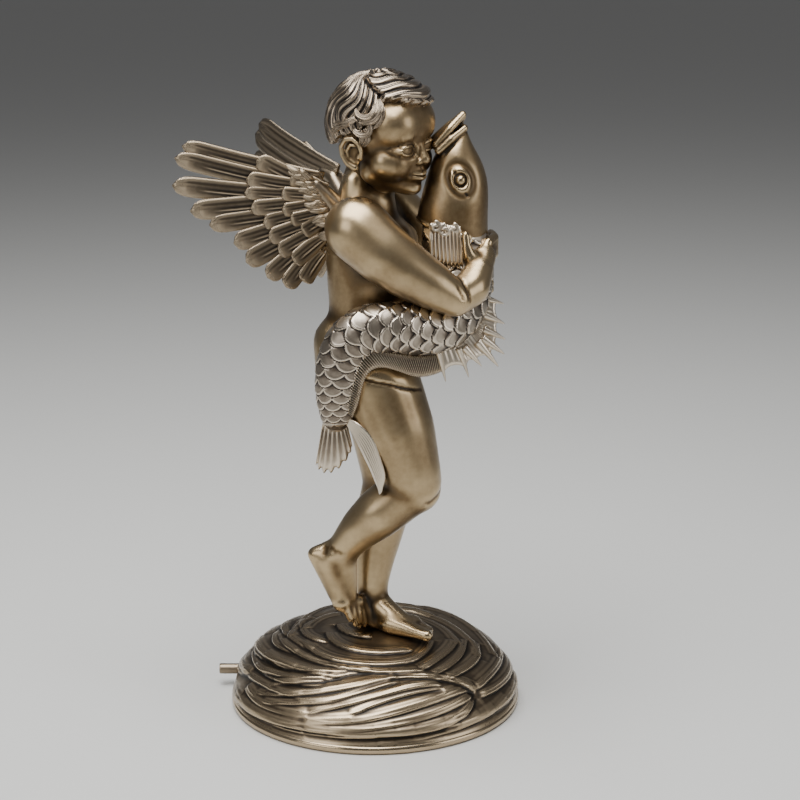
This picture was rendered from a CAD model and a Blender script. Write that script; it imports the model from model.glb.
import math

import bmesh
import bpy
import numpy as np
from mathutils import Euler, Matrix, Vector


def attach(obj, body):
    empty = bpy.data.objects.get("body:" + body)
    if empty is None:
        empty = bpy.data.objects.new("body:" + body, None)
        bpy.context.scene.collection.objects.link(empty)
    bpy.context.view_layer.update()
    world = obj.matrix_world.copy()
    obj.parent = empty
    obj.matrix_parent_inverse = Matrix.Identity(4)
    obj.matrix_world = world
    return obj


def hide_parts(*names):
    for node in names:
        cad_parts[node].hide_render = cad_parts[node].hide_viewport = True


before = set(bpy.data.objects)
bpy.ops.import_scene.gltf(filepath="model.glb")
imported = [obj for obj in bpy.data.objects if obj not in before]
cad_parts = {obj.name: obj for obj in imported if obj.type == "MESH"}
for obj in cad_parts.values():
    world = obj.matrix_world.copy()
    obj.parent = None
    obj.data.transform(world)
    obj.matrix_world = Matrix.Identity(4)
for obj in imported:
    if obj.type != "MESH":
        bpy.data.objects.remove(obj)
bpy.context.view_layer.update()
bpy.ops.object.select_all(action="DESELECT")

# The child is one hollow bronze casting, chased and patinated. It is built up from rounded masses as a clay
# sketch is, given one skin, softened where a toddler is soft, and worked with strokes for creases and folds.
# Its places are in drawing units, a millimetre each at this height, from the middle of the mound's top.
FIGURE_HEIGHT = 0.785
DRAWN_HEIGHT = 785
UNIT = FIGURE_HEIGHT / DRAWN_HEIGHT
MOUND_TOP = 0.105
SKIN_VOXEL = 0.0027
BODY_YAW = -17


def placed(origin, yaw, pitch=0.0, roll=0.0):
    turn = Euler((math.radians(roll), math.radians(pitch), math.radians(yaw)), "XYZ")
    return Matrix.Translation(origin) @ turn.to_matrix().to_4x4()


body_frame = placed((-4, 0, 396), BODY_YAW)
head_frame = placed((10, -6, 694), -36, 5, 4)
to_metres = Matrix.Translation((0, 0, MOUND_TOP)) @ Matrix.Scale(UNIT, 4)
LIMB_SIDES, LIMB_STEPS = 20, 6


def limb(clay, a, b, thick_a, thick_b, where=Matrix()):
    """Two balls and the cone between them."""
    a, b = where @ Vector(a), where @ Vector(b)
    axis = b - a
    lean = math.asin(max(-0.98, min(0.98, (thick_a - thick_b) / max(axis.length, 0.01))))
    axis.normalize()
    side = axis.orthogonal().normalized()
    other = axis.cross(side)
    seam = math.pi / 2 - lean
    profile = [(a, thick_a, math.pi + (seam - math.pi) * i / LIMB_STEPS) for i in range(LIMB_STEPS + 1)]
    profile += [(b, thick_b, seam * (1 - i / LIMB_STEPS)) for i in range(LIMB_STEPS + 1)]
    turns = [2 * math.pi * j / LIMB_SIDES for j in range(LIMB_SIDES)]
    rings = []
    for centre, radius, turn in profile:
        middle = centre + axis * radius * math.cos(turn)
        reach = radius * math.sin(turn)
        if reach < 0.001 * radius:
            rings.append([clay.verts.new(to_metres @ middle)] * LIMB_SIDES)
            continue
        ring = [middle + (side * math.cos(t) + other * math.sin(t)) * reach for t in turns]
        rings.append([clay.verts.new(to_metres @ spot) for spot in ring])
    for first, second in zip(rings, rings[1:]):
        for j in range(LIMB_SIDES):
            k = (j + 1) % LIMB_SIDES
            clay.faces.new(dict.fromkeys((first[j], first[k], second[k], second[j])))


def chain(clay, points, thick, where=Matrix()):
    for i in range(len(points) - 1):
        limb(clay, points[i], points[i + 1], thick[i], thick[i + 1], where)


def egg(clay, centre, radii, where=Matrix(), tilt=(0, 0, 0)):
    turn = Matrix.Translation(centre) @ Euler([math.radians(t) for t in tilt]).to_matrix().to_4x4()
    place = to_metres @ where @ turn @ Matrix.Diagonal((*radii, 1))
    bmesh.ops.create_icosphere(clay, subdivisions=4, radius=1, matrix=place)


def as_piece(clay, name):
    mesh = bpy.data.meshes.new(name)
    clay.to_mesh(mesh)
    clay.free()
    piece = bpy.data.objects.new(name, mesh)
    bpy.context.scene.collection.objects.link(piece)
    return piece


def pick(*pieces):
    """Selects these pieces and nothing else, with the first of them active."""
    bpy.ops.object.select_all(action="DESELECT")
    for piece in pieces:
        piece.select_set(True)
    bpy.context.view_layer.objects.active = pieces[0]


def applied(piece, kind, **settings):
    """Adds a modifier with these settings and applies it, as from the modifier's menu."""
    pick(piece)
    modifier = piece.modifiers.new(kind.title(), kind)
    for key, value in settings.items():
        setattr(modifier, key, value)
    bpy.ops.object.modifier_apply(modifier=modifier.name)


def rows_of(points, field):
    flat = np.empty(len(points) * 3, dtype=np.float32)
    points.foreach_get(field, flat)
    return flat.reshape(-1, 3).astype(float)


def outward(piece):
    return rows_of(piece.data.vertex_normals, "vector")


def corners(piece):
    """The mesh's points in drawing units, a row each."""
    return (rows_of(piece.data.vertices, "co") - (0, 0, MOUND_TOP)) / UNIT


def set_corners(piece, points):
    flat = (points * UNIT + (0, 0, MOUND_TOP)).astype(np.float32).ravel()
    piece.data.vertices.foreach_set("co", flat)
    piece.data.update()


def stepped(path, count):
    """As many places along a path, spread evenly from each of its points to the next."""
    path = np.asarray(path, dtype=float)
    knots = np.linspace(0, len(path) - 1, count)
    return np.stack([np.interp(knots, np.arange(len(path)), path[:, k]) for k in range(3)], axis=1)


def distance_to_path(points, path):
    """(distance, share along the path) from each point to a line through the path's points."""
    path = np.array([tuple(p) for p in path], dtype=float)
    best = np.full(len(points), 1e9)
    share = np.zeros(len(points))
    for i in range(len(path) - 1):
        run = path[i + 1] - path[i]
        t = np.clip(((points - path[i]) @ run) / max(run @ run, 1e-9), 0, 1)
        gap = np.linalg.norm(points - path[i] - t[:, None] * run, axis=1)
        nearer = gap < best
        best[nearer] = gap[nearer]
        share[nearer] = (i + t[nearer]) / (len(path) - 1)
    return best, share


def hump(place, centre, width):
    return np.exp(-(((place - centre) / width) ** 2))


def stroke(piece, path, reach, depth, where=Matrix()):
    """A tool drawn along a path: it raises the skin (or sinks it, below nought), fading at both ends."""
    points = corners(piece)
    gap, share = distance_to_path(points, [where @ Vector(p) for p in path])
    near = gap < 3 * reach
    fade = np.minimum(1, 0.35 + 4 * np.minimum(share, 1 - share))
    lift = depth * hump(gap, 0, reach) * fade
    points[near] += outward(piece)[near] * lift[near, None]
    set_corners(piece, points)


clay = bmesh.new()
# pelvis, belly, chest, shoulders, neck and seat
egg(clay, (2, 0, 2), (56, 70, 52), body_frame)
egg(clay, (14, 0, 56), (60, 66, 62), body_frame)
egg(clay, (8, 0, 100), (54, 66, 60), body_frame)
egg(clay, (4, 0, 140), (57, 72, 62), body_frame)
egg(clay, (32, -32, 150), (25, 34, 28), body_frame)
egg(clay, (32, 32, 150), (25, 34, 28), body_frame)
limb(clay, (-4, -56, 180), (-4, 56, 180), 34, 34, body_frame)
limb(clay, (-8, 0, 168), (0, 0, 208), 48, 34, body_frame)
for side in (-1, 1):
    limb(clay, (-26, side * 32, 20), (-22, side * 40, -18), 44, 42, body_frame)
    limb(clay, (-6, side * 20, 50), (-12, side * 26, 140), 44, 42, body_frame)
    limb(clay, (-12, side * 24, 190), (-16, side * 12, 232), 26, 22, body_frame)
# right leg, bent, and its foot on tiptoe
chain(clay, [(2, -44, 372), (28, -54, 304), (50, -62, 244), (56, -62, 224)], [60, 55, 42, 37])
egg(clay, (64, -64, 226), (25, 27, 29), tilt=(0, -20, 0))
calf = [(53, -62, 224), (8, -59, 187), (-16, -55, 165), (-38, -49, 138), (-45, -47, 120)]
chain(clay, calf, [36, 35.5, 30, 23.5, 21])
limb(clay, (-40, -48, 136), (-80, -44, 126), 17, 9)
limb(clay, (-50, -46, 119), (-83, -44, 123), 20, 11)
egg(clay, (-56, -60, 125), (9, 8, 10))
limb(clay, (-79, -44, 119), (-48, -41, 58), 12.5, 14)
limb(clay, (-62, -46, 113), (-45, -42, 58), 19, 16)
limb(clay, (-43, -46, 112), (-39, -38, 60), 20, 15)
limb(clay, (-46, -48, 53), (-26, -24, 46), 13, 12)
TIPTOES = (
    ((-42, -51, 56), (-38, -52, 42), (-33, -51, 29), 5.2),
    ((-35, -43, 56), (-30, -44, 39), (-26, -43, 19), 5.2),
    ((-29, -35, 54), (-22, -36, 34), (-21, -35, 14), 5.2),
    ((-24, -27, 50), (-16, -28, 28), (-14, -27, 12), 5.2),
    ((-20, -18, 46), (-10, -18, 24), (-7, -18, 11), 7.0),
)
for *joints, thick in TIPTOES:
    chain(clay, joints, [thick * 1.1, thick, thick * 0.9])
# left leg, straight, and its flat foot
leg = [(-6, 42, 366), (14, 36, 290), (21, 28, 206), (8, 20, 150), (-1, 12, 96), (-4, 8, 64), (-4, 6, 36)]
chain(clay, leg, [58, 50, 37, 37, 29, 24, 22])
egg(clay, (34, 26, 204), (20, 22, 24))
heel, ball = Vector((-16, 6, 16)), Vector((47, -34, 10))
limb(clay, (-4, 6, 34), heel, 22, 18)
limb(clay, heel, ball, 17, 13)
limb(clay, (0, 4, 36), (28, -18, 18), 20, 18)
limb(clay, (28, -18, 18), (46, -33, 12), 18, 13.5)
limb(clay, (22, -24, 13), (56, -48, 11), 16, 10.5)
limb(clay, (50, -44, 11), (54, -20, 13), 11.5, 12)
FLAT_TOES = (
    ((44, -44, 11), (62, -55, 10.5), (73, -61, 9), 8.6),
    ((50, -42, 13), (65, -49, 13), (76, -53, 9.5), 6.0),
    ((52, -34, 13), (67, -40, 13.5), (77.5, -43, 9.5), 5.8),
    ((53, -26, 13), (67, -31, 13), (76, -34, 8.5), 5.5),
    ((52, -18, 13), (63, -22.5, 12), (70.5, -25, 8.5), 5.3),
)
for *joints, thick in FLAT_TOES:
    chain(clay, joints, [thick * 1.05, thick, thick])
# right arm, in front of the fish, and its hand on the fish's back
upper_arm = [(-20, -80, 580), (14, -92, 550), (41, -95, 530), (75, -95, 509), (107, -92, 489)]
chain(clay, upper_arm, [44, 41, 38, 32, 24])
chain(clay, [(107, -90, 489), (130, -70, 500), (141, -50, 521)], [24, 25, 19])
limb(clay, (141, -50, 521), (148, -32, 536), 18, 16)
chain(clay, [(138, -48, 530), (127, -53, 540), (123.5, -54, 554), (122, -52, 568)], [12, 9.5, 6.4, 5.4])
limb(clay, (134, -48, 538), (147, -34, 544), 7, 9)
for finger in range(4):
    up = 531 + 7.6 * finger
    chain(clay, [(153, -28, up), (162, -9, up + 4), (158, 14, up + 8)], [7.2, 6.6, 5.6])
# left arm, round the fish's other side
chain(clay, [(14, 76, 588), (66, 94, 545), (100, 92, 500)], [42, 36, 28])
chain(clay, [(100, 90, 500), (126, 66, 494), (140, 46, 492)], [27, 26, 20])
limb(clay, (140, 46, 492), (146, 28, 498), 18, 15)
for finger in range(4):
    up = 484 + 9.5 * finger
    chain(clay, [(147, 28, up), (156, 8, up), (157, -10, up + 2)], [8.2, 7.2, 5.8])
# the neck, up to the fold under the jaw
limb(clay, (-10, 0, -50), (-26, 4, -94), 33, 38, head_frame)

child = as_piece(clay, "child")
applied(child, "REMESH", mode="VOXEL", voxel_size=SKIN_VOXEL)
points = corners(child)
# near the hands and the feet the skin is hardly softened, so their small forms stay
CRISP = ((152, -24, 545), (124, -53, 556), (152, 10, 492), (-28, -36, 34), (82, -46, 8))
SOFT_LEVELS = 20
nearest = np.min([np.linalg.norm(points - c, axis=1) for c in CRISP], axis=0)
soft = np.clip((nearest - 26) / 36, 0.03, 1)
group = child.vertex_groups.new(name="soft")
for step in range(SOFT_LEVELS + 1):
    level = step / SOFT_LEVELS
    chosen = np.nonzero(np.abs(soft - level) < 0.025)[0]
    if len(chosen):
        group.add(chosen.tolist(), level, "REPLACE")
applied(child, "SMOOTH", factor=0.5, iterations=3)
applied(child, "SMOOTH", factor=0.5, iterations=40, vertex_group="soft")
belly = tuple(body_frame @ Vector((0, 0, 84)))
inside = np.linalg.norm((corners(child) - belly) / (1, 1, 1.15), axis=1)
trunk = child.vertex_groups.new(name="trunk")
trunk.add(np.nonzero(inside < 86)[0].tolist(), 1.0, "REPLACE")
applied(child, "SMOOTH", factor=0.5, iterations=50, vertex_group="trunk")
# folds of a plump child, each a path, its reach and its depth: the thigh, the elbow, the knee and the ankle
THIGH = (
    (-28, -90, 387), (-16, -99, 384), (-4, -100, 381), (16, -98, 376), (36, -94, 370), (54, -82, 365),
    (64, -66, 361),
)
FOLDS = (
    (THIGH, 2.5, -1.8),
    (((-10, -104, 396), (10, -104, 390), (30, -99, 384), (48, -86, 380)), 9.0, 1.2),
    (((108, -80, 520), (113, -88, 518), (118, -100, 511), (124, -104, 500), (128, -103, 488)), 2.2, -2.0),
    (((105, -104, 508), (113, -109, 500), (118, -109, 490)), 2.2, -1.0),
    (((92, -60, 226), (90, -84, 214), (72, -98, 204)), 5.0, -1.6),
    (((-62, -62, 140), (-52, -66, 134), (-40, -68, 132)), 4.0, -0.7),
    (((-72, -54, 138), (-66, -56, 134), (-66, -56, 124)), 5.0, -1.2),
)
for path, reach, depth in FOLDS:
    points = corners(child)
    path = stepped(path, 25)
    path = np.array([points[np.argmin(np.linalg.norm(points - spot, axis=1))] for spot in path])
    path[1:-1] = (path[:-2] + path[1:-1] + path[2:]) / 3
    stroke(child, path, reach, depth)
# the trunk's: spine, seat, navel and belly once, and in pairs the thigh's root, the breast and the shoulder blade
ONCE, PAIRED = (1,), (-1, 1)
BODY_FOLDS = (
    (((-64, 0, 64), (-58, 0, 110), (-54, 0, 150)), 7.0, -2.6, ONCE),
    (((-70, 0, 34), (-76, 0, 0), (-58, 0, -36)), 4.0, -8.0, ONCE),
    (((-58, 12, -46), (-64, 34, -52), (-50, 58, -46)), 4.0, -3.2, PAIRED),
    (((75, -1, 50), (75, 1, 50)), 3.4, -5.0, ONCE),
    (((66, -34, 18), (72, 0, 10), (66, 34, 18)), 5.0, -1.8, ONCE),
    (((60, 46, 128), (64, 26, 122), (62, 6, 128)), 5.0, -1.4, PAIRED),
    (((58, 36, 158), (59, 36, 158)), 2.2, 1.4, PAIRED),
    (((-46, 40, 196), (-50, 30, 160), (-46, 24, 136)), 8.0, 2.0, PAIRED),
)
for path, reach, depth, sides in BODY_FOLDS:
    for side in sides:
        stroke(child, [(x, side * y, z) for x, y, z in path], reach, depth, body_frame)
for _, _, (x, y, z), _ in FLAT_TOES:
    stroke(child, [(x - 3, y + 2, z + 6), (x + 1, y - 1, z + 6)], 1.6, -0.9)


def bronze(name, dark, middle, light, roughness, groove=0.0, bite=0.42):
    """Cast bronze under a brown patina: dark in the hollows, rubbed bright on what stands out."""
    material = bpy.data.materials.new(name)
    material.use_nodes = True
    nodes, links = material.node_tree.nodes, material.node_tree.links
    shader = nodes["Principled BSDF"]
    shader.inputs["Metallic"].default_value = 1.0
    shader.inputs["Coat Weight"].default_value = 0.35
    shader.inputs["Coat Roughness"].default_value = 0.32
    place = nodes.new("ShaderNodeTexCoord").outputs["Object"]

    def kept(attribute):
        node = nodes.new("ShaderNodeAttribute")
        node.attribute_name = attribute
        return node.outputs["Fac"]

    def noise(scale, detail, rough):
        node = nodes.new("ShaderNodeTexNoise")
        node.inputs["Scale"].default_value = scale
        node.inputs["Detail"].default_value = detail
        node.inputs["Roughness"].default_value = rough
        links.new(place, node.inputs["Vector"])
        return node.outputs["Fac"]

    def scaled(value, factor, added=0.0):
        node = nodes.new("ShaderNodeMath")
        node.operation = "MULTIPLY_ADD"
        links.new(value, node.inputs[0])
        node.inputs[1].default_value = factor
        if isinstance(added, float):
            node.inputs[2].default_value = added
        else:
            links.new(added, node.inputs[2])
        return node.outputs[0]

    def bumped(height, strength, distance):
        node = nodes.new("ShaderNodeBump")
        node.inputs["Strength"].default_value = strength
        node.inputs["Distance"].default_value = distance
        links.new(height, node.inputs["Height"])
        return node

    speck = noise(140, 5, 0.5)
    blotched = scaled(noise(11, 7, 0.62), 0.42, 0.29)
    speckled = scaled(speck, 0.14, scaled(kept("hollow"), bite, blotched))
    weathered = scaled(kept("sky"), -0.10, speckled)
    ramp = nodes.new("ShaderNodeValToRGB")
    bright_end, dark_end = ramp.color_ramp.elements
    bright_end.position, bright_end.color = 0.22, (*light, 1)
    dark_end.position, dark_end.color = 0.98, (*dark, 1)
    ramp.color_ramp.elements.new(0.55).color = (*middle, 1)
    links.new(weathered, ramp.inputs["Fac"])
    links.new(ramp.outputs["Color"], shader.inputs["Base Color"])
    dull = scaled(weathered, 0.34, roughness - 0.17)
    dull.node.use_clamp = True
    links.new(dull, shader.inputs["Roughness"])
    relief = bumped(speck, 0.10, 0.0008)
    if groove:
        wave = nodes.new("ShaderNodeMath")
        wave.operation = "COSINE"
        links.new(scaled(kept("grooves"), 2 * math.pi), wave.inputs[0])
        cut = bumped(wave.outputs[0], groove, 0.0007)
        links.new(relief.outputs["Normal"], cut.inputs["Normal"])
        relief = cut
    links.new(relief.outputs["Normal"], shader.inputs["Normal"])
    return material


def keep(piece, name, values):
    """Stores a number at each of the mesh's points, for its metal to read."""
    layer = piece.data.attributes.new(name, "FLOAT", "POINT")
    layer.data.foreach_set("value", np.asarray(values, dtype=np.float32).ravel())


# rounds of smoothing after which the hollows are looked at: the depth that counts as deep, and its weight
HOLLOWS = {3: (0.22, 0.55), 30: (1.1, 0.75)}


def weather(piece):
    """Keeps at each point how hollow the surface is there, and how far it faces the sky."""
    points, out = corners(piece), outward(piece)
    pairs = np.empty(len(piece.data.edges) * 2, dtype=np.int32)
    piece.data.edges.foreach_get("vertices", pairs)
    a, b = pairs[::2], pairs[1::2]
    total = len(points)
    degree = np.maximum(1, np.bincount(a, minlength=total) + np.bincount(b, minlength=total))
    soft = points.copy()
    hollow = np.zeros(total)
    for step in range(1, max(HOLLOWS) + 1):
        near = [np.bincount(a, soft[b, k], total) + np.bincount(b, soft[a, k], total) for k in range(3)]
        soft = 0.35 * soft + 0.65 * np.stack(near, axis=1) / degree[:, None]
        if step in HOLLOWS:
            deep, weight = HOLLOWS[step]
            hollow += np.tanh(np.sum((soft - points) * out, axis=1) / deep) * weight
    keep(piece, "hollow", hollow)
    keep(piece, "sky", out[:, 2])


def finish(piece, metal, node="cherub_and_fish", angle=180):
    """Weathers a piece, gives it its metal and hands it to the frame in the node's place."""
    weather(piece)
    piece.data.materials.clear()
    piece.data.materials.append(metal)
    pick(piece)
    if angle < 180:
        bpy.ops.object.shade_smooth_by_angle(angle=math.radians(angle))
    else:
        bpy.ops.object.shade_smooth()
    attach(piece, "root")
    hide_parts(node)


skin_bronze = bronze("skin bronze", (0.024, 0.016, 0.008), (0.158, 0.100, 0.044), (0.480, 0.360, 0.205), 0.40)
finish(child, skin_bronze)

# The head is cast with the child, one skin with the neck down to the fold below the jaw. Its face is a calm
# small child's, laid out on the proportions of a drawing manual: round forehead, full cheeks, eyes one eye
# apart.
def one_skin(clay, name, voxel, rubbed):
    """The masses under one skin, rubbed smooth so many times."""
    piece = as_piece(clay, name)
    applied(piece, "REMESH", mode="VOXEL", voxel_size=voxel)
    applied(piece, "SMOOTH", factor=0.5, iterations=rubbed)
    return piece


def clay_of(piece):
    """A finished piece turned back into clay."""
    clay = bmesh.new()
    clay.from_mesh(piece.data)
    bpy.data.objects.remove(piece)
    return clay


clay = bmesh.new()
egg(clay, (1, 0, 18), (68, 57, 60), head_frame)
limb(clay, (33, -17, 22), (33, 17, 22), 36, 36, head_frame)
egg(clay, (21, 0, -16), (48, 47, 48), head_frame)
egg(clay, (50, 0, -42), (22, 19, 17), head_frame)
egg(clay, (54, 0, -61), (13, 15, 12), head_frame)
limb(clay, (20, -12, -50), (20, 12, -50), 24, 24, head_frame)
for side in (-1, 1):
    limb(clay, (41, side * 23, -28), (32, side * 28, -26), 23.5, 24.5, head_frame)
    limb(clay, (47, side * 4, -59), (14, side * 31, -40), 14, 20, head_frame)
limb(clay, (-10, 0, -44), (-25, 4, -88), 35, 38.5, head_frame)
clay = clay_of(one_skin(clay, "head", 0.0016, 50))
# the nose is set on the smoothed head
limb(clay, (60, 0, 2), (69, 0, -14), 6, 6, head_frame)
limb(clay, (68, 0, -12), (73.5, 0, -21), 6, 7, head_frame)
for side in (-1, 1):
    egg(clay, (68, side * 7.5, -23.5), (6.5, 5, 5), head_frame)
head = one_skin(clay, "head", 0.0015, 10)

# the face's mesh is made finer before the eyes and mouth are cut
into_head = head_frame.inverted()
clay = bmesh.new()
clay.from_mesh(head.data)
front = []
for edge in clay.edges:
    middle = (edge.verts[0].co + edge.verts[1].co) / 2
    spot = into_head @ ((middle - Vector((0, 0, MOUND_TOP))) / UNIT)
    if spot.x > 46 and abs(spot.y) < 40 and -54 < spot.z < 10:
        front.append(edge)
bmesh.ops.subdivide_edges(clay, edges=front, cuts=1, use_grid_fill=True, smooth=0.0)
bmesh.ops.triangulate(clay, faces=clay.faces)
clay.to_mesh(head.data)
clay.free()


def smooth_step(low, high, value):
    t = np.clip((value - low) / (high - low), 0, 1)
    return t * t * (3 - 2 * t)


def rounded(place):
    """The height of a half round, from one in its middle to nought at one each way."""
    return np.sqrt(np.maximum(0, 1 - place**2))


to_head, from_head = np.array(into_head), np.array(head_frame)
face = corners(head) @ to_head[:3, :3].T + to_head[:3, 3]
ahead, across, up = face[:, 0].copy(), np.abs(face[:, 1]), face[:, 2]
# eyes: the lids lie on a ball, and the opening is cut back to the eyeball between them
EYE_ACROSS, EYE_UP, EYE_HALF = 22.5, -8.0, 11.5
u = (across - EYE_ACROSS) / EYE_HALF
arch = np.sqrt(np.maximum(0, 1 - np.clip(abs(u), 0, 1) ** 2.2))
above = up - (EYE_UP + 5.4 * arch + 0.6 * u)
below = (EYE_UP - 4.4 * arch + 0.6 * u) - up
outer_past = np.maximum(0, across - EYE_ACROSS - EYE_HALF)
inner_past = np.maximum(0, EYE_ACROSS - EYE_HALF - across)
past = np.hypot(outer_past + inner_past, up - EYE_UP)
from_lid = np.where(abs(u) < 1, np.maximum(above, below), past)
ball = 45.5 + np.sqrt(np.maximum(60, 19.0**2 - (across - EYE_ACROSS) ** 2 - (up - EYE_UP) ** 2))
lid = ball + 1.7 * smooth_step(-0.5, 0.6, from_lid) - 0.9 * hump(above, 3.6, 1.1) * (above > 0)
lid -= 0.5 * hump(below, 3.4, 1.5) * (below > 0)
wide = np.where(above > below, 6.5, 7.5)
held = (1 - smooth_step(1.5, 1.5 + wide, from_lid)) * smooth_step(7.5, 12.0, across) * (ahead > 40)
ahead = held * lid + (1 - held) * ahead
# mouth: two soft lips either side of a line that turns up a little at its ends
MOUTH_UP, MOUTH_HALF = -43.0, 14.0
bow = rounded(across / MOUTH_HALF)
level = up - (MOUTH_UP + 1.6 * (across / MOUTH_HALF) ** 2 - 0.7 * hump(across, 0, 3.0))
lips = 3.0 * bow * hump(level, 3.0, 2.9) * (1 - 0.25 * hump(across, 0, 2.0))
lips += 3.7 * bow**1.3 * hump(level, -3.9, 3.2)
lips -= 2.6 * bow**0.6 * hump(level, 0, 0.8)
lips -= 1.3 * np.exp(-(((across - 15.5) / 2.6) ** 2) - (((up - MOUTH_UP - 1.5) / 2.8) ** 2))
lips -= 1.2 * np.exp(-((across / 10) ** 2) - (((up + 54.5) / 3.2) ** 2))
lips -= 0.8 * hump(across, 0, 1.7) * smooth_step(-38.5, -36, up) * (1 - smooth_step(-32, -30, up))
ahead += lips * (face[:, 0] > 50)
face[:, 0] = ahead
set_corners(head, face @ from_head[:3, :3].T + from_head[:3, 3])
for side in (-1, 1):
    stroke(head, [(76, side * 3.6, -28), (73, side * 5.2, -27.5)], 1.9, -3.2, head_frame)
    stroke(head, [(71, side * 11.2, -19), (68, side * 12.6, -25)], 1.6, -1.0, head_frame)
    stroke(head, [(68, side * 18, 9), (64, side * 27, 10), (58, side * 35, 7)], 6.0, 1.0, head_frame)
finish(head, skin_bronze)

# The ears are cast with the head and stand clear of the hair. Each is a dish with a rolled rim that thickens
# into the lobe, a second fold inside it and a small flap before the hollow.
EAR_RIM = (
    (10, 56, -21), (12, 58, -11), (9, 60, -1), (0, 62, 5), (-10, 64, 3), (-16, 65, -7), (-14, 64, -19),
    (-7, 61, -29), (2, 57, -34),
)
EAR_FOLD = ((5, 59, -4), (-4, 61, -4), (-9, 61, -12), (-6, 60, -22), (2, 58, -26))
clay = bmesh.new()
for side in (-1, 1):
    rim = [(x, side * y, z) for x, y, z in EAR_RIM]
    chain(clay, rim, [2.8, 2.8, 3.0, 3.2, 3.3, 3.2, 3.2, 4.2, 4.8], head_frame)
    fold = [(x, side * y, z) for x, y, z in EAR_FOLD]
    chain(clay, fold, [1.8, 2.4, 2.6, 2.6, 2.4], head_frame)
    egg(clay, (-3, side * 56, -15), (14, 4, 19), head_frame)
    limb(clay, (9, side * 57, -16), (8, side * 58, -19), 3.4, 3.2, head_frame)
finish(one_skin(clay, "ears", 0.0011, 4), skin_bronze)

# The fish is cast with the child. Its body is swept along one bent line and covered with rows of overlapping
# scales, each rounded at its free edge. The scales were chased, so their edges catch the light.
FISH_LINE = (
    ((108, -2, 636), 40, 33),
    ((103, -4, 590), 50, 39),
    ((112, -8, 542), 46, 37),
    ((120, -20, 492), 41, 34),
    ((108, -50, 457), 37, 30),
    ((71, -82, 447), 35, 28),
    ((29, -98, 453), 33, 27),
    ((-14, -99, 451), 32, 26),
    ((-40, -94, 420), 31, 24),
    ((-48, -93, 375), 29, 21),
    ((-49, -86, 336), 24, 17),
    ((-48, -78, 302), 13, 9),
)
SCALES_AROUND = 9
SCALE_PITCH = 0.54
RINGS, RING_POINTS = 410, 132


def along(values, share):
    """A smooth curve through the values, at each share of its length."""
    values, share = np.asarray(values, dtype=float), np.asarray(share, dtype=float)
    place = np.clip(share, 0, 1) * (len(values) - 1)
    i = np.minimum(place.astype(int), len(values) - 2)
    t = (place - i)[:, None]
    near = 3 * t**3 - 6 * t * t + 4
    next_one = 3 * (1 - t) ** 3 - 6 * (1 - t) ** 2 + 4
    before, after = values[np.maximum(i - 1, 0)], values[np.minimum(i + 2, len(values) - 1)]
    return (before * (1 - t) ** 3 + values[i] * near + values[i + 1] * next_one + after * t**3) / 6


def unit_rows(rows):
    return rows / np.linalg.norm(rows, axis=1)[:, None]


def skinned(name, spots, faces):
    """A piece from places in metres and faces, all turned outwards."""
    mesh = bpy.data.meshes.new(name)
    mesh.from_pydata(spots.tolist(), [], faces)
    made = bmesh.new()
    made.from_mesh(mesh)
    bmesh.ops.recalc_face_normals(made, faces=made.faces)
    made.to_mesh(mesh)
    made.free()
    piece = bpy.data.objects.new(name, mesh)
    bpy.context.scene.collection.objects.link(piece)
    return piece


def whole_turn(count):
    return np.linspace(0, 2 * math.pi, count, endpoint=False)


def lofted(name, rings):
    """One closed skin over rings of points, fanned shut at both ends."""
    count, around = rings.shape[:2]
    spots = np.concatenate([rings.reshape(-1, 3), rings[0].mean(0)[None], rings[-1].mean(0)[None]])
    j = np.arange(around)
    k = np.roll(j, -1)
    level = np.arange(count - 1)[:, None] * around
    quads = np.stack([level + j, level + k, level + k + around, level + j + around], axis=-1)
    first_fan = np.stack([np.full(around, count * around), k, j], axis=-1)
    last = (count - 1) * around
    last_fan = np.stack([np.full(around, count * around + 1), last + j, last + k], axis=-1)
    faces = quads.reshape(-1, 4).tolist() + first_fan.tolist() + last_fan.tolist()
    return skinned(name, spots * UNIT + (0, 0, MOUND_TOP), faces)


share = np.linspace(0, 1, RINGS)
line = [place for place, _, _ in FISH_LINE]
middle = along(line, share)
ahead = unit_rows(along(line, np.minimum(share + 0.004, 1)) - along(line, np.maximum(share - 0.004, 0)))
outside = unit_rows(np.array([0.0, -1.0, 0.0]) + ahead[:, 1:2] ** 2)
back = np.cross(outside, ahead)
high, thick = along([sizes for _, *sizes in FISH_LINE], share).T
# on the inside of the bend the body is no higher than the bend leaves room for
inner = np.clip(share, 0.05, 0.95)
a, b, c = along(line, inner - 0.05), along(line, inner), along(line, inner + 0.05)
twice_area = np.linalg.norm(np.cross(b - a, c - a), axis=1)
bend = np.linalg.norm(a - b, axis=1) * np.linalg.norm(b - c, axis=1) * np.linalg.norm(c - a, axis=1)
bend = bend / np.maximum(2 * twice_area, 0.001)
slope = np.minimum(1, np.minimum(0.60 + 1.75 * share, 0.6 + 9 * (1 - share)))
pitch = 2 * math.pi * np.sqrt((high**2 + thick**2) / 2) / SCALES_AROUND
run = np.concatenate([[0], np.linalg.norm(np.diff(middle, axis=0), axis=1)])
wider = 0.24 * smooth_step(0.50, 0.62, share)
row = np.cumsum(run / (SCALE_PITCH * pitch * (1 + 1.2 * wider)))[:, None]
turn = whole_turn(RING_POINTS)[None]
column = (turn + wider[:, None] * np.cos(turn)) * SCALES_AROUND / (2 * math.pi)
relief = np.full((RINGS, RING_POINTS), -1.0)
found = np.zeros_like(relief, dtype=bool)
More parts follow.
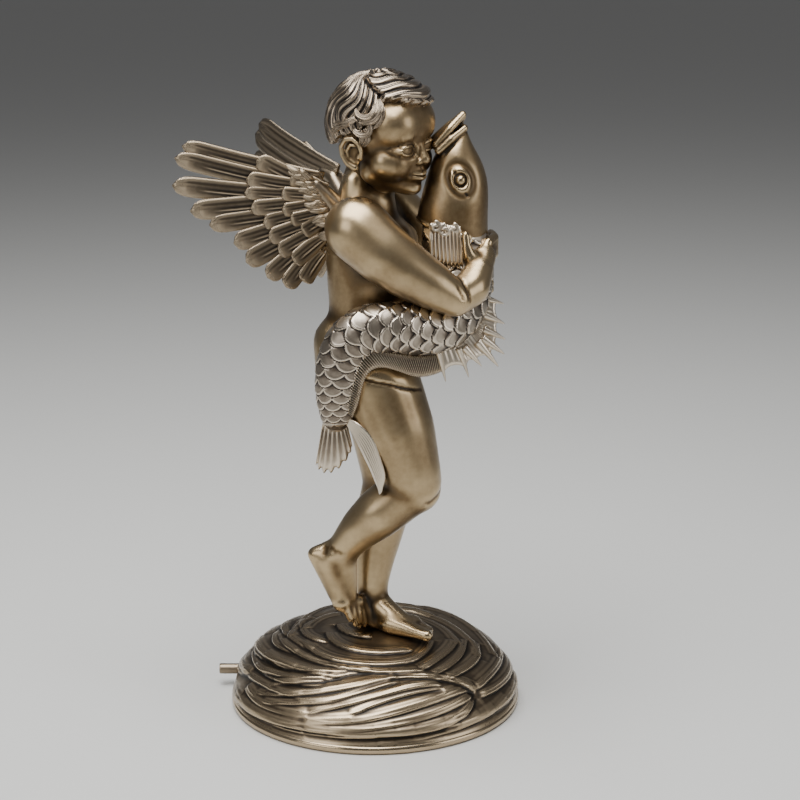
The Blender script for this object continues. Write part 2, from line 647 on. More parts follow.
# each place takes the first row of scales that still covers it; every other row is half a scale aside
for step in range(-3, 3):
    k = np.floor(row) + step
    aside = column + 0.5 * (k % 2) + 0.5
    offset = aside % 1 - 0.5
    jitter = 0.04 * np.sin(12.9 * k + 7.3 * np.floor(aside))
    edge = k + 0.15 + jitter + 1.25 * rounded(offset / 0.57)
    covers = (row < edge) & ~found
    behind = edge - row
    lift = 1 - 0.42 * behind + 0.16 * hump(behind, 0.22, 0.13)
    relief = np.where(covers, lift * smooth_step(-0.02, 0.15, behind), relief)
    found |= covers
scaled = smooth_step(0.05, 0.08, share) * (1 - smooth_step(0.955, 0.99, share))
relief = relief * (0.135 * pitch * scaled)[:, None]
tall = np.where(np.cos(turn) > 0, high[:, None], np.minimum(high, 0.8 * bend)[:, None])
rings = middle[:, None] + back[:, None] * (np.cos(turn) * (tall * slope[:, None] + relief))[..., None]
rings += outside[:, None] * (np.sin(turn) * (thick[:, None] * slope[:, None] + relief))[..., None]
scale_bronze = bronze(
    "scale bronze", (0.014, 0.011, 0.010), (0.120, 0.092, 0.068), (0.580, 0.500, 0.400), 0.38, bite=0.60,
)
finish(lofted("fish_body", rings), scale_bronze)

# The fish's head, cast with the rest, stands upright beside the child's cheek: thick parted lips for the jet,
# a bulging eye in an almond of folded skin, and a smooth gill cover whose edge stands proud of the scales. It
# is swept over slices from the gills to the lips: both edges, sideways and up, and half the thickness.
HEAD_SLICES = (
    (60, 538, 150, 524, 37),
    (56, 550, 152, 540, 39),
    (56, 566, 154, 562, 42),
    (59, 586, 153, 584, 42),
    (63, 607, 154, 607, 41),
    (69, 630, 153, 634, 36.5),
    (75, 650, 146, 656, 31),
    (80, 664, 138, 671, 26),
    (86, 674, 131, 683, 21),
    (96, 682, 127, 693, 15),
    (107, 690, 124, 700, 9),
    (116, 697, 122, 705, 3),
)
HEAD_RINGS, HEAD_POINTS = 60, 72
slices = along(HEAD_SLICES, np.linspace(0, 1, HEAD_RINGS))
left_x, left_z, right_x, right_z, half_thick = slices.T[..., None]
turn = whole_turn(HEAD_POINTS)
wide = (left_x + right_x) / 2 + (right_x - left_x) / 2 * np.cos(turn)
tall = (left_z + right_z) / 2 + (right_z - left_z) / 2 * np.cos(turn)
clay = clay_of(lofted("jaw", np.stack([wide, -3 + half_thick * np.sin(turn), tall], axis=-1)))
chain(clay, [(86, -3, 684), (104, -3, 703), (118, -3, 718)], [12, 10, 5.5])
for side in (-1, 1):
    chain(clay, [(83, side * 17 - 3, 683), (101, side * 14 - 3, 703), (119, side * 3 - 3, 721)], [5, 5.4, 4.8])
    lower_lip = [(86, side * 19 - 3, 674.5), (103, side * 15 - 3, 690), (121, side * 3 - 3, 703)]
    chain(clay, lower_lip, [5, 5.8, 5.0])
fish_head = one_skin(clay, "fish_head", 0.00138, 5)
points = corners(fish_head)
GILL = ((35, 598), (41, 592), (60, 579), (75, 572), (95, 569), (112, 566), (128, 558), (140, 545), (150, 532))
gill = np.interp(points[:, 0], *zip(*GILL))
inward = (np.array([104.0, -3.0]) - points[:, :2]) / 44
sunk = smooth_step(0, 2.2, gill - points[:, 2])
lip = hump(points[:, 2] - gill, 4, 3.0) * 1.4
points[:, :2] += inward * (10 * sunk - lip)[:, None]
set_corners(fish_head, points)
points, out = corners(fish_head), outward(fish_head)
dx, dz = points[:, 0] - 115.4, points[:, 2] - 638.2
lean = -0.45 * dx + 0.89 * dz
round_eye = np.hypot(dx, dz)
almond = np.sqrt(np.maximum(0, dx**2 + dz**2 - 0.42 * lean**2))
lifted = 4.6 * rounded(round_eye / 6.4) - 2.3 * hump(round_eye, 8.0, 1.4)
lifted += 1.7 * hump(almond, 10.6, 2.6) - 1.8 * hump(almond, 17.0, 4.0)
lifted *= np.clip(abs(out[:, 1]) * 2 - 0.4, 0, 1)
set_corners(fish_head, points + out * lifted[:, None])
for side in (-1, 1):
    face = side * 34 - 3
    stroke(fish_head, [(102, face, 657), (106, face, 651), (110, face, 645)], 2.2, -3.6)
    stroke(fish_head, [(118, face, 629), (121, face, 622), (125, face, 616)], 1.9, -2.4)
    under_lip = [(92, side * 21 - 3, 668), (106, side * 17 - 3, 681), (121, side * 6 - 3, 693)]
    stroke(fish_head, under_lip, 1.8, -1.8)
    parting = [(85, side * 19 - 3, 679), (103, side * 15 - 3, 697), (121, side * 3 - 3, 712)]
    stroke(fish_head, parting, 1.6, -3.6)
finish(fish_head, skin_bronze)

# The fish's fins are thin and ribbed, cast with its body: a fringe along the back, a web with loose spines
# round the outside of the bend, a small side fin that curls at its root, and a forked tail with a rim and
# veins.
def fin(name, root, tip, normal, thick_root, thick_tip, ribs, depth, rows, notch=0.0, arched=0.0):
    """A ribbed sheet between a root line and a tip line of as many points."""
    count = len(root)
    wave = np.cos(2 * math.pi * ribs * np.linspace(0, 1, count))
    run = (tip - root) * (1 + notch * wave)[:, None]
    sheet = []
    for i in range(2 * rows + 2):
        side, level = (1, i) if i <= rows else (-1, 2 * rows + 1 - i)
        t = level / rows
        half = (thick_root + (thick_tip - thick_root) * t) * (1 + depth * wave * min(1, 3 * t + 0.2))
        half = half * math.sqrt(max(0.04, 1 - t**6))
        bow = arched * math.sin(math.pi * t * 0.5) ** 2
        sheet.append(root + run * t + np.array(normal) * (side * half + bow)[:, None])
    return lofted(name, np.stack(sheet, axis=1))


def evened(path, count):
    """The same path with its points spread evenly along its length."""
    gaps = np.concatenate([[0], np.cumsum(np.linalg.norm(np.diff(path, axis=0), axis=1))])
    return np.stack([np.interp(np.linspace(0, gaps[-1], count), gaps, path[:, k]) for k in range(3)], axis=1)


def joined(parts, name):
    pick(*parts)
    bpy.ops.object.join()
    bpy.context.object.name = name
    return bpy.context.object


fins = []
FRINGE_ROOT = (
    (94, -58, 404), (90, -62, 403), (64, -92, 404), (37, -108, 412), (12, -110, 419), (-4, -110, 420),
    (-17, -106, 409), (-26, -104, 390), (-32, -102, 368), (-34, -98, 346), (-31, -92, 332),
)
FRINGE_EDGE = (
    (97, -60, 388), (92, -64, 385), (66, -95, 383), (44, -111, 393), (23, -113, 402), (5, -114, 404),
    (-7, -114, 396), (-13, -112, 381), (-17, -108, 360), (-22, -102, 342), (-28, -94, 328),
)
FRINGE_POINTS = 480
root = evened(along(FRINGE_ROOT, np.linspace(0, 1, FRINGE_POINTS)), FRINGE_POINTS)
edge = evened(along(FRINGE_EDGE, np.linspace(0, 1, FRINGE_POINTS)), FRINGE_POINTS)
root = root + (root - edge) * 0.4 + (0, 3, 0)
fins.append(fin("fringe", root, edge, (0.0, -1.0, 0.1), 7.5, 3.0, ribs=60, depth=0.55, rows=7, notch=0.02))
SPINES = (
    ((154, -18, 475), (176, -18, 470), 3.6),
    ((157, -26, 452), (177, -26, 444), 4.2),
    ((156, -32, 433), (178, -32, 424), 4.4),
    ((153, -40, 421), (177, -40, 405), 4.6),
    ((145, -46, 416), (169, -46, 389), 4.6),
    ((127, -56, 411), (146, -56, 392), 4.0),
    ((117, -62, 409), (129, -62, 378), 2.8),
    ((89, -72, 406), (98, -72, 374), 2.8),
)
SPINE_RINGS, SPINE_POINTS = 18, 16
around = whole_turn(SPINE_POINTS)
for root, tip, thick in SPINES:
    root, tip = np.array(root, dtype=float), np.array(tip, dtype=float)
    ahead = unit_rows((tip - root)[None])[0]
    root = root - ahead * 9
    side = unit_rows(np.cross(ahead, (0.2, -1.0, 0.1))[None])[0]
    other = np.cross(ahead, side)
    spine = []
    for s in np.linspace(0, 1, SPINE_RINGS):
        radius = thick * 1.5 * (1 - s) ** 0.9 + 0.6 if s < 0.97 else 0.4
        centre = root + (tip - root) * s + side * 1.5 * s * s
        ring = (np.cos(around) * radius)[:, None] * side + (np.sin(around) * radius)[:, None] * other
        spine.append(centre + ring)
    fins.append(lofted("spine", np.array(spine)))
WEB_POINTS = 240
web_root = stepped([root for root, _, _ in SPINES], WEB_POINTS)
web_tip = stepped([tip for _, tip, _ in SPINES], WEB_POINTS)
between = np.abs(np.sin(math.pi * np.linspace(0, len(SPINES) - 1, WEB_POINTS)))[:, None]
web_tip = web_root + (web_tip - web_root) * (0.66 - 0.26 * np.sqrt(between))
web_root = web_root - unit_rows(web_tip - web_root) * 26 + (0, 8, 0)
fins.append(fin("web", web_root, web_tip, (0.1, -1.0, 0.1), 6.0, 1.6, ribs=28, depth=0.08, rows=8))
SIDE_FIN_POINTS, TAIL_POINTS = 110, 130
t = np.linspace(0, 1, SIDE_FIN_POINTS)[:, None]
root = np.array([77.0, -40, 582]) + t * np.array([38.0, -2, -4])
tip = np.array([77.0, -47, 533]) + t * np.array([42.0, -2, -7]) + np.sin(math.pi * t) * np.array([0.0, -3, -2])
fins.append(fin(
    "side_fin", root, tip, (0.0, -1.0, 0.05), 5.0, 3.2,
    ribs=8, depth=0.26, rows=12, notch=0.03, arched=3,
))
clay = bmesh.new()
CURLS = ((82, 577, 7.5), (95, 572, 8.5), (107, 575, 6.5), (116, 567, 5.5), (88, 562, 5.5))
for k, (x, z, size) in enumerate(CURLS):
    flip = 1 if k % 2 else -1
    spiral = []
    for i in range(12):
        radius, turn = size - 0.5 * i, 0.62 * i + 1.7
        spiral.append((x + flip * radius * math.cos(turn), -45.5 - 0.25 * i, z + radius * math.sin(turn)))
    chain(clay, spiral, [0.42 * size - 0.12 * i for i in range(12)])
chain(clay, [(77, -42, 580), (76.5, -47, 560), (77, -48, 536)], [3.0, 3.2, 2.4])
fins.append(one_skin(clay, "curls", 0.0012, 3))
TAIL_OUTER = (
    (-36, -84, 330), (-31, -86, 326), (-18, -92, 319), (-5, -95, 308), (2, -97, 295), (7, -98, 278),
    (14, -98, 257), (15, -97, 248), (11, -94, 232), (8, -93, 222),
)
TAIL_INNER = (
    (-40, -82, 326), (-34, -84, 316), (-25, -86, 301), (-19, -88, 289), (-12, -90, 273), (-4, -92, 258),
    (1, -93, 244), (5, -93, 235), (7, -93, 226), (8, -93, 222),
)
TAIL_LEFT = (
    (-28, -68, 287), (-30, -68, 274), (-43, -68, 256), (-59, -68, 247), (-72, -68, 250), (-78, -68, 262),
)
t = np.linspace(0, 1, TAIL_POINTS)
outer, inner = along(TAIL_OUTER, t), along(TAIL_INNER, t)
fins.append(fin(
    "tail_right", inner, outer, (0.25, -0.95, 0.15), 2.6, 3.4,
    ribs=0.5, depth=0.0, rows=22, arched=-3,
))
clay = bmesh.new()
chain(clay, [tuple(p + (0, -2.5, 0)) for p in outer[2:128:7]], [3.0 - 0.07 * i for i in range(18)])
fins.append(as_piece(clay, "rim"))
for k in range(6):
    level = 0.12 + 0.14 * k
    vein = inner * (1 - level) + outer * level + np.array([1.0, -3.6, 0.6])
    clay = bmesh.new()
    chain(clay, [tuple(p) for p in vein[4:128:9]], [2.6 - 0.10 * i for i in range(14)])
    fins.append(as_piece(clay, "vein"))
root = np.array([-36.0, -76, 316]) + t[:, None] * np.array([-30.0, 2, 8])
tip = along(TAIL_LEFT, t)
fins.append(fin(
    "tail_left", root, tip, (-0.1, -1.0, 0.1), 8.0, 3.8,
    ribs=7, depth=0.15, rows=22, notch=0.04, arched=4,
))
fin_bronze = bronze(
    "fin bronze", (0.036, 0.029, 0.023), (0.310, 0.252, 0.190), (0.650, 0.565, 0.450), 0.46, bite=0.50,
)
finish(joined(fins, "fish_fins"), fin_bronze)

# The wings are cast in one with the back. Each is three rows of blunt feathers over one another, fanned out
# from a short arm, every vane chased with a shaft and fine barbs, and a ruff of down where the wing leaves
# the shoulder. A feather is its tip, its root and half its width; the first number runs along the wing, the
# second up.
PRIMARIES = (
    ((198, 101), (52, 63), 12), ((208, 86), (53, 46), 13), ((212, 50), (56, 30), 14.5),
    ((189, 15), (37, 24), 14.5), ((164, -5), (34, 8), 13.5), ((132, -31), (28, -4), 14.5),
    ((116, -57), (26, -16), 15), ((88, -79), (22, -30), 14.5), ((63, -93), (16, -42), 13.5),
    ((39, -87), (10, -48), 12.5),
)
SECOND_ROW = (
    ((100, 79), (36, 48), 13.5), ((114, 55), (36, 42), 12), ((117, 36), (36, 31), 10.5),
    ((109, 15), (32, 21), 12), ((92, -6), (28, 8), 12.5), ((85, -26), (24, -6), 13),
    ((72, -46), (20, -20), 13), ((52, -59), (14, -30), 12.5),
)
THIRD_ROW = (
    ((56, 55), (6, 38), 13), ((68, 34), (8, 30), 10.5), ((67, 11), (8, 20), 10.5), ((56, -2), (8, 8), 10.5),
    ((40, -19), (4, 2), 12),
)
VANE_STEPS, FRONT_POINTS, BACK_POINTS = 28, 21, 13


def vane(where, root, tip, width, lift, side, droop):
    """One feather: a blade with a raised rim, a shaft and a groove on each side of it."""
    run = tip - root
    s = np.linspace(0, 1, VANE_STEPS) ** 0.92
    blunt = np.sqrt(np.maximum(0.004, 1 - np.clip((s - 0.84) / 0.16, 0, 1) ** 2.4))
    broad = (0.72 + 0.28 * smooth_step(0, 0.5, s)) * blunt
    w = np.linspace(-1, 1, FRONT_POINTS)
    crown = 1.9 * np.sqrt(np.maximum(0, 1 - abs(w) ** 3.2)) - 0.35 * hump(w, 0.45, 0.12)
    shaft = 0.9 * hump(w, -0.2, 0.08) - 0.5 * hump(w, 0, 0.09) - 0.4 * hump(w, -0.4, 0.09)
    back_w = np.linspace(1, -1, BACK_POINTS)
    back_crown = 1.5 * np.sqrt(np.maximum(0, 1 - back_w**4))
    back_crown += 0.45 * np.cos(3 * math.pi * back_w) * (1 - back_w**2)
    fade = np.minimum(1, (1 - s) * 16 + 0.15)
    rings = []
    turned = Matrix.Rotation(-math.atan2(run.z, run.x), 4, "Y")
    leaned = Matrix.Rotation(side * math.radians(8), 4, "X")
    for i in range(VANE_STEPS):
        spot = root + run * float(s[i])
        cup = 0.0005 * spot.length_squared
        sag = droop * math.sin(math.pi * min(1, float(s[i]) * 1.1))
        place = where @ Matrix.Translation((spot.x, -side * (lift + cup), spot.z - sag)) @ turned @ leaned
        place = np.array(place)
        ridge = crown + shaft * (1 - smooth_step(0.62, 0.85, s[i]))
        front = [np.zeros(FRONT_POINTS), -side * (0.4 + ridge * fade[i] * 1.25), w * broad[i] * width]
        behind = [np.zeros(BACK_POINTS), side * (0.4 + back_crown * fade[i]), back_w * broad[i] * width]
        ring = np.concatenate([front, behind], axis=1).T
        rings.append(ring @ place[:3, :3].T + place[:3, 3])
    made = lofted("vane", np.array(rings))
    barb = s[:, None] * run.length / 1.9 + np.abs([*w, *back_w]) * width * broad[:, None] / 1.6
    keep(made, "grooves", [*barb.ravel(), 0, 0])
    return made


CURL_STEPS, CURL_POINTS, CURL_STRANDS = 26, 16, 3


def curl(path, wide, high, outwards):
    """A swept lock of hair or down: it follows a path, and its grooves run with it."""
    s = np.linspace(0, 1, CURL_STEPS)
    centre, normal = along(path, s), along(outwards, s)
    ahead = unit_rows(np.gradient(centre, axis=0))
    normal = unit_rows(normal - ahead * np.sum(normal * ahead, axis=1)[:, None])
    side = np.cross(ahead, normal)
    swell = np.sin(math.pi * np.clip(0.12 + 0.86 * s, 0, 1)) ** 0.55 * (1 - 0.35 * s) + 0.04
    swell[-1] *= 0.3
    turn = whole_turn(CURL_POINTS)
    c, z = np.cos(turn), np.sin(turn)
    flute = 1 + 0.22 * np.cos(2 * math.pi * CURL_STRANDS * c * 0.5 + math.pi)
    rings = centre[:, None] + side[:, None] * (c[None] * wide * swell[:, None])[..., None]
    rings += normal[:, None] * ((z * flute)[None] * high * swell[:, None])[..., None]
    made = lofted("curl", rings)
    phase = c * CURL_STRANDS * 1.6 + 0.15 * np.sin(9 * s)[:, None]
    keep(made, "grooves", [*phase.ravel(), 0, 0])
    return made


wing_bronze = bronze(
    "wing bronze", (0.012, 0.009, 0.007), (0.088, 0.066, 0.043), (0.330, 0.262, 0.180), 0.43,
    groove=0.30, bite=0.50,
)
DOWN_ROW = 17
DOWN_BOW = ((-6, 4), (2, 15), (11, 16), (20, 11), (26, 7))
for side, name in ((-1, "right_wing"), (1, "left_wing")):
    root = body_frame @ Vector((-48, side * 24, 190))
    where = placed(root, BODY_YAW + 180 - side * 28)
    parts = []
    for row, feathers in enumerate((PRIMARIES, SECOND_ROW, THIRD_ROW)):
        # the far wing's longest feathers are broader, so that they close up
        broader = 1.3 if side > 0 and row == 0 else 1
        for i, (tip, start, width) in enumerate(feathers):
            tip, start = Vector((tip[0], 0, tip[1])), Vector((start[0], 0, start[1]))
            start = start - (tip - start) * max(0, start.x - 10) / (tip.x - start.x)
            droop = (2.4 - 0.5 * i) * (1.2 - 0.4 * row)
            parts.append(vane(where, start, tip, width * broader, 4.5 * row + 1.1 * (i % 2), side, droop))
    clay = bmesh.new()
    bone = [(-14, -side * 2, -22), (-6, -side * 4, 14), (20, -side * 5, 42), (42, -side * 4, 50)]
    chain(clay, bone, [13, 15, 12, 7], where)
    parts.append(one_skin(clay, "arm", 0.0018, 12))
    for i in range(2 * DOWN_ROW):
        t = (i % DOWN_ROW) / (DOWN_ROW - 1)
        layer = i // DOWN_ROW
        seat = Vector((-16, 0, -34)).lerp(Vector((36, 0, 56)), t) + Vector((-6 + 10 * layer, 0, 4 * layer))
        turn = math.radians(35 + 60 * t + 16 * math.sin(4.3 * i)) - 1.1
        go = Vector((math.cos(turn), 0, math.sin(turn)))
        tuft = []
        for d, h in DOWN_BOW:
            tuft.append(tuple(where @ (seat + go * d + Vector((0, -side * h, 2.5 * math.sin(d / 3 + i))))))
        out = tuple(where.to_3x3() @ Vector((0.2, -side, 0.1)))
        parts.append(curl(tuft, 5.2, 3.4, [out] * len(tuft)))
    finish(joined(parts, name), wing_bronze)

# The hair is cast with the head: one carved cap of wavy locks, parted on the right, swept over the brow in
# front of the parting and combed down behind it. Small curls, chased deeper, lie at the temples and before
# the ears.
SCALP_MIDDLE = (-2.0, 0, 16)
SCALP_RADII = (69.0, 58.5, 61.5)
PARTING = ((43, -57), (49.2, -64.6), (57, -78.5), (66.2, -98.6), (77, -125), (88, -170))
HAIRLINE = (
    (-180, -34), (-122, -26), (-106, -14), (-90, -7), (-78, 0), (-68, 10), (-58, 30), (-44, 35), (0, 28),
    (34, 22), (60, 20), (72, 10), (84, 2), (96, -5), (110, -10), (124, -26), (180, -34),
)
FRONT_LOCK, SIDE_LOCK = 12.5, 11.0


def domed(flow, width):
    """The height of a lock across its width, from nought at its edges to one."""
    return 1 - (2 * np.abs(flow / width % 1 - 0.5)) ** 2


cap = bmesh.new()
bmesh.ops.create_icosphere(cap, subdivisions=7, radius=1)
cap = as_piece(cap, "cap")
out = unit_rows(rows_of(cap.data.vertices, "co"))
x, y, z = out.T
around = np.degrees(np.arctan2(y, x))
up = np.degrees(np.arcsin(np.clip(z, -1, 1)))
past = around - np.interp(up, *zip(*PARTING))
warp = 5 * np.sin(4.6 * x + 2) * np.sin(3.8 * y + 1) + 2.5 * np.sin(8 * z + 5 * x)
# along a lock the flow stays the same, and a lock is as wide as a certain change of it
front_flow = 60 * np.radians(up) + 0.0085 * np.maximum(0, around - 20) ** 2
front_flow = front_flow + 3.2 * np.sin(0.07 * around + 0.6) + 0.55 * warp
side_flow = 58 * np.radians(around) + 6.5 * np.sin(0.088 * up + 0.8) + 0.16 * up + warp
ripple = np.sin(0.07 * around + 1.9 * np.floor(front_flow / FRONT_LOCK))
front_high = 6.5 + 4.6 * domed(front_flow, FRONT_LOCK) + 1.5 * np.cos(np.radians(up)) * ripple
front_high += 5.5 * np.exp(-(((up - 38) / 17) ** 2) - (((around - 22) / 62) ** 4))
side_high = 3.4 + 4.6 * domed(side_flow, SIDE_LOCK)
side_high = side_high + 1.2 * np.sin(0.13 * up + 2.1 * np.floor(side_flow / SIDE_LOCK))
in_front = smooth_step(-1.5, 1.5, past) * (1 - smooth_step(100, 122, around))
high = in_front * front_high + (1 - in_front) * side_high
high -= 4.5 * hump(past, 0, 4.0) * (up < 84)
hairline = np.interp(around, *zip(*HAIRLINE)) + 1.2 * np.sin(0.35 * around)
grown = -9 + (high + 9) * smooth_step(-1.5, 5.5, up - hairline)
spots = np.array(SCALP_MIDDLE) + out * (np.array(SCALP_RADII) + grown[:, None])
set_corners(cap, spots @ from_head[:3, :3].T + from_head[:3, 3])
keep(cap, "grooves", np.where(in_front > 0.5, front_flow, side_flow) / 3.1)


def scalp(around, up, lift):
    """A place on the head: degrees round from the face to the left, degrees up, and the height above it."""
    around, up = math.radians(around), math.radians(up)
    out = np.array([math.cos(up) * math.cos(around), math.cos(up) * math.sin(around), math.sin(up)])
    spot = head_frame @ Vector(np.array(SCALP_MIDDLE) + out * (np.array(SCALP_RADII) + lift))
    return tuple(spot), tuple(head_frame.to_3x3() @ Vector(out))


locks = [cap]
for flip in (1, -1):
    for path, wide, high in (
        (((60, 41, 2), (57, 31, 5), (58, 20, 6), (65, 12, 6), (77, 10, 5), (88, 14, 3)), 6.0, 6.0),
        (((64, 34, 3), (62, 25, 7), (67, 17, 8), (76, 15, 8), (85, 20, 6), (87, 27, 4)), 5.5, 6.0),
        (((62, 38, 2), (54, 28, 4), (54, 18, 4), (60, 8, 4), (69, 3, 3)), 4.5, 5.0),
        (((70, 12, 3), (66, 4, 5), (70, -3, 6), (79, -4, 6), (86, 1, 5), (94, 8, 3)), 5.0, 5.0),
        (((75, 6, 2), (70, -3, 4), (70, -11, 4), (76, -17, 3), (82, -20, 1)), 4.2, 4.0),
        (((80, 4, 3), (76, -5, 5), (77, -13, 5), (83, -17, 3)), 4.0, 4.0),
        (((84, 16, 3), (92, 8, 6), (102, 4, 7), (112, 2, 6), (120, -4, 3)), 6.5, 6.0),
        (((96, 10, 3), (106, 2, 6), (114, -6, 6), (118, -16, 4), (124, -24, 2)), 6.0, 6.0),
    ):
        places, outwards = zip(*[scalp(-flip * a, b, c) for a, b, c in path])
        locks.append(curl(places, wide, high, outwards))
hair_bronze = bronze(
    "hair bronze", (0.009, 0.007, 0.006), (0.080, 0.059, 0.041), (0.350, 0.280, 0.205), 0.42,
    groove=0.55, bite=0.66,
)
finish(joined(locks, "hair"), hair_bronze)

# The mound of water is its own bronze casting, closed by a flat seat. Long strands of water wind round it
# like wet cloth, each with a soft crest that overhangs the next, and they meet in a knot at the right. A
# strand's points are degrees round the mound and hundredths of the way down its side; the pipe's axis is in
# thousandths of a metre.
MOUND_RADIUS = 0.203
MOUND_LIP = 0.010
PIPE_ASIDE, PIPE_UP = 42, 24
STRAND_POINTS, STRAND_REACH = 26, 26
LIP_STRANDS, BACK_STRANDS = 16, 30
SWIRLS = (
    ((-142, 68), (-128, 60), (-114, 55), (-105, 47), (-91, 45)),
    ((-148, 78), (-135, 73), (-120, 66), (-106, 60), (-97, 57), (-87, 52), (-78, 50)),
    ((-141, 81), (-122, 73), (-108, 69), (-98, 62), (-86, 56), (-76, 53)),
    ((-117, 78), (-104, 71), (-94, 66), (-82, 61), (-68, 58), (-56, 61)),
    ((-99, 76), (-90, 69), (-79, 64), (-67, 62), (-57, 63)),
    ((-131, 89), (-113, 84), (-99, 81), (-90, 79), (-78, 74), (-64, 71), (-47, 68), (-41, 71)),
    ((-118, 91), (-103, 88), (-90, 84), (-79, 82), (-66, 80), (-50, 76), (-42, 73)),
    ((-117, 95), (-95, 93), (-75, 91), (-60, 88), (-47, 83), (-42, 75)),
    ((-82, 51), (-70, 51), (-54, 57), (-45, 65), (-41, 73)),
    ((-62, 48), (-48, 44), (-33, 42), (-18, 40)),
    ((-57, 53), (-39, 50), (-25, 47), (-9, 44)),
    ((-51, 58), (-32, 57), (-18, 56), (-3, 52)),
    ((-39, 71), (-25, 69), (-6, 70), (10, 72)),
    ((-39, 77), (-24, 79), (-4, 81), (16, 84)),
    ((-160, 35), (-129, 39), (-110, 40), (-85, 40), (-65, 41), (-49, 36), (-28, 30)),
    ((-165, 22), (-124, 27), (-98, 29), (-75, 30), (-56, 31)),
    ((-191, 17), (-147, 14), (-94, 13)),
    ((-188, 47), (-155, 43), (-128, 44), (-106, 44), (-80, 47), (-62, 48)),
    ((-165, 58), (-145, 53), (-123, 51), (-105, 46)),
    ((-164, 67), (-148, 63), (-130, 57), (-114, 53)),
    ((-158, 81), (-148, 84), (-132, 83), (-117, 81)),
    ((-158, 92), (-142, 95), (-127, 95), (-118, 94)),
    ((70, 20), (47, 24), (18, 28), (-6, 36), (-20, 43)),
    ((65, 28), (37, 33), (10, 40), (-9, 50), (-20, 57)),
    ((60, 46), (34, 50), (8, 57), (-6, 66)),
    ((148, 37), (172, 38), (189, 41)),
    ((130, 25), (154, 31), (180, 33)),
)
MOUND_RINGS, MOUND_POINTS = 172, 352
shares = np.linspace(0, 1, MOUND_RINGS) ** 0.9
turns = np.linspace(-math.pi, math.pi, MOUND_POINTS, endpoint=False)


def dome(share, turn, lift=0.0):
    """A place on the mound, from the middle of its top to its lip."""
    lean = math.pi / 2 * share
    radius = np.sin(lean) ** 0.96
    height = MOUND_LIP + (MOUND_TOP - MOUND_LIP) * (1 - radius**3.4) ** 0.6
    reach = MOUND_RADIUS * radius + lift * np.sin(lean)
    return np.stack([reach * np.cos(turn), reach * np.sin(turn), height + lift * np.cos(lean)], axis=-1) * 1000


rng = np.random.default_rng(7)
strands = [([(a, s / 100) for a, s in path], 1.0) for path in SWIRLS]
for k in range(LIP_STRANDS):
    start = -176 + 150 * (k + 0.5 * rng.random()) / LIP_STRANDS
    level = 0.90 + 0.07 * rng.random()
    tilt = -0.06 + 0.05 * rng.random()
    path = [(start + 46 * t, min(0.985, level + tilt * t)) for t in np.linspace(0, 1, 5)]
    strands.append((path, 0.55 + 0.3 * rng.random()))
for k in range(BACK_STRANDS):
    start = 12 + 165 * rng.random()
    level = 0.22 + 0.74 * (k + 0.5 * rng.random()) / BACK_STRANDS
    length = 34 + 52 * rng.random()
    tilt = -0.09 + 0.05 * rng.random()
    path = []
    for t in np.linspace(0, 1, 6):
        down = level + tilt * (t - 0.5) * 2 + 0.02 * math.sin(5 * t + k)
        path.append((start + length * t, min(0.97, max(0.1, down))))
    strands.append((path, 0.75 + 0.35 * rng.random()))
spread, wound = np.meshgrid(shares, turns, indexing="ij")
ground = dome(spread, wound).reshape(-1, 3)
downhill = unit_rows(dome(np.minimum(spread + 0.01, 1), wound).reshape(-1, 3) - ground + 1e-9)
lift = 1.2 * np.sin(3 * wound + 9 * spread + 1.2 * np.sin(2 * wound)).ravel()
lift = lift * np.minimum(1, 2.5 * spread.ravel())
shares = np.linspace(0, 1, STRAND_POINTS)
for path, strength in strands:
    flat = along([(a, s, 0) for a, s in (path[0], *path, path[-1])], shares)
    line = dome(flat[:, 1], np.radians(flat[:, 0]))
    near = (ground > line.min(0) - STRAND_REACH) & (ground < line.max(0) + STRAND_REACH)
    near = np.nonzero(np.all(near, axis=1))[0]
    gap, s = distance_to_path(ground[near], line)
    spot = np.stack([np.interp(s, shares, line[:, k]) for k in range(3)], axis=1)
    below = np.sum((ground[near] - spot) * downhill[near], axis=1)
    signed = np.where(below > 0, gap, -gap)
    taper = smooth_step(0, 0.30, np.minimum(s, 1 - s)) * (gap < STRAND_REACH)
    crest = 2.5 * hump(signed, -9, 8.5)
    under = -3.4 * np.exp(-((np.maximum(signed, 0) / 6.5) ** 1.3)) * smooth_step(-3.2, 1.2, signed)
    threads = 0.42 * np.cos(2 * math.pi * (signed + 9) / 7) * hump(signed, -9, 9)
    lift[near] += strength * taper * (crest + under + threads)
knot = dome(0.73, math.radians(-41))
lift -= 3 * hump(np.linalg.norm(ground - knot, axis=1), 0, 14)
lift = (5.2 * np.tanh(lift / 5.2)).reshape(spread.shape)
lift = lift * np.minimum(1, 0.25 + 9 * (1 - spread)) * smooth_step(0.0, 0.12, spread)
top = dome(spread[1:], wound[1:], lift[1:] / 1000)
foot = top[-1].copy()
foot[:, 2] = 4
seat = foot * (0.992, 0.992, 0)
rings = np.concatenate([top, foot[None], seat[None]])
rings = (rings - (0, 0, MOUND_TOP * 1000)) / (UNIT * 1000)
mound = lofted("mound_of_water", rings)
# the hole that the supply pipe sits in
bpy.ops.mesh.primitive_cylinder_add(
    vertices=48, radius=0.0078, depth=0.12,
    location=(-0.2247, PIPE_ASIDE / 1000, PIPE_UP / 1000), rotation=(0, math.pi / 2, 0),
)
drill = bpy.context.object
applied(mound, "BOOLEAN", operation="DIFFERENCE", object=drill, solver="EXACT")
bpy.data.objects.remove(drill)
mound_bronze = bronze(
    "mound bronze", (0.014, 0.011, 0.008), (0.108, 0.079, 0.050), (0.450, 0.350, 0.225), 0.40, bite=0.48,
)
finish(mound, mound_bronze, "wave_mound")

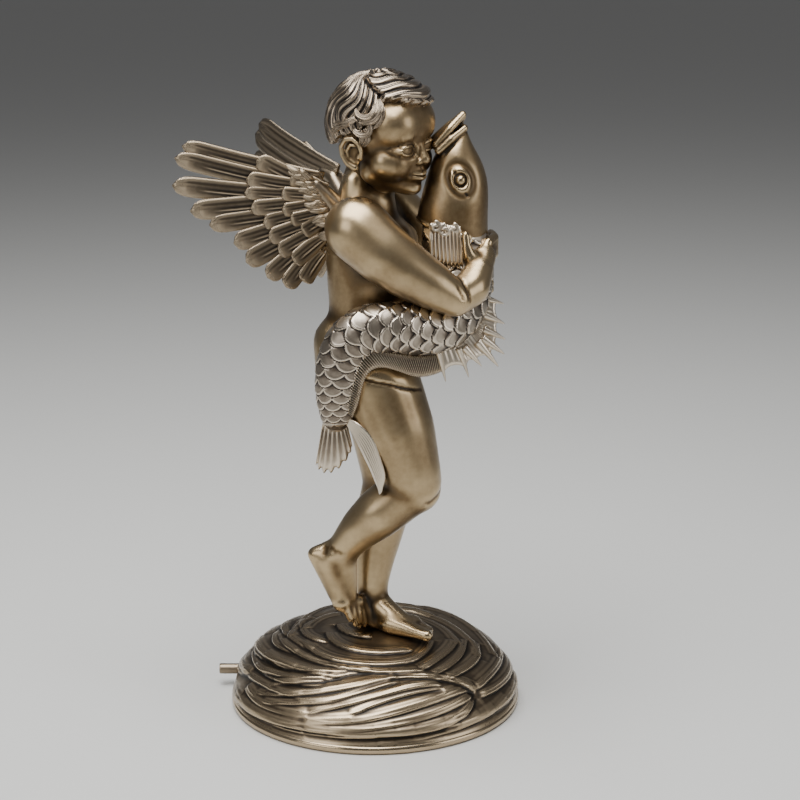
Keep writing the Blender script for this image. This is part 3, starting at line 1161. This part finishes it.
# The supply pipe is a short stub of drawn brass tube, pushed into the side of the mound and left as it was
# cut. Its outline goes round the wall: the distance from the mound's middle and the radius, in thousandths of
# a metre.
PIPE_OUTLINE = (
    (-165.3, 5.9), (-165.3, 7.4), (-166, 7.5), (-190, 7.5), (-221, 7.5), (-224.2, 7.45), (-225, 7.1),
    (-225, 6.2), (-224.4, 5.85), (-190, 5.8), (-166, 5.8),
)
PIPE_SIDES = 64
loop = []
for a in whole_turn(PIPE_SIDES):
    loop += [(x, PIPE_ASIDE + r * math.cos(a), PIPE_UP + r * math.sin(a)) for x, r in PIPE_OUTLINE]
count = len(PIPE_OUTLINE)
quads = []
for i in range(PIPE_SIDES):
    for j in range(count):
        a, b = i * count, (i + 1) % PIPE_SIDES * count
        quads.append((a + j, a + (j + 1) % count, b + (j + 1) % count, b + j))
pipe = skinned("supply_pipe", np.array(loop) / 1000, quads)
pipe_brass = bronze("pipe brass", (0.030, 0.024, 0.018), (0.110, 0.086, 0.058), (0.260, 0.205, 0.140), 0.50)
finish(pipe, pipe_brass, "water_pipe", 40)

# The studio is a plain pale floor and three soft lamps under a dim sky. The camera stands where the
# photograph was taken from, a little above the child and looking slightly down.
CAMERA_TILT = 14.2
bpy.ops.mesh.primitive_plane_add(size=60, location=(0, 0, -0.0005))
floor = bpy.context.object
floor.name = "studio_floor"
paint = bpy.data.materials.new("pale floor")
paint.use_nodes = True
shader = paint.node_tree.nodes["Principled BSDF"]
shader.inputs["Base Color"].default_value = (0.62, 0.62, 0.60, 1)
shader.inputs["Roughness"].default_value = 0.8
floor.data.materials.append(paint)

sky = bpy.data.worlds.new("studio")
sky.use_nodes = True
glow = sky.node_tree.nodes["Background"]
glow.inputs["Color"].default_value = (0.88, 0.88, 0.90, 1)
glow.inputs["Strength"].default_value = 0.16
bpy.context.scene.world = sky
for name, spot, size, power in (
    ("sky", (-0.3, -0.5, 3.0), 2.7, 175),
    ("front", (-2.6, -2.8, 1.9), 2.0, 30),
    ("side", (2.9, -1.2, 1.3), 1.8, 22),
):
    bpy.ops.object.light_add(type="AREA", location=spot)
    lamp = bpy.context.object
    lamp.name = name + "_lamp"
    lamp.data.size = size
    lamp.data.energy = power
    lamp.rotation_euler = (Vector((0, 0, 0.45)) - Vector(spot)).to_track_quat("-Z", "Y").to_euler()

bpy.ops.object.camera_add(location=(0.0357, -2.6, 1.093), rotation=(math.radians(90 - CAMERA_TILT), 0, 0))
camera = bpy.context.object
camera.name = "photo_camera"
camera.data.sensor_width = 36
camera.data.lens = 87.84
bpy.context.scene.camera = camera
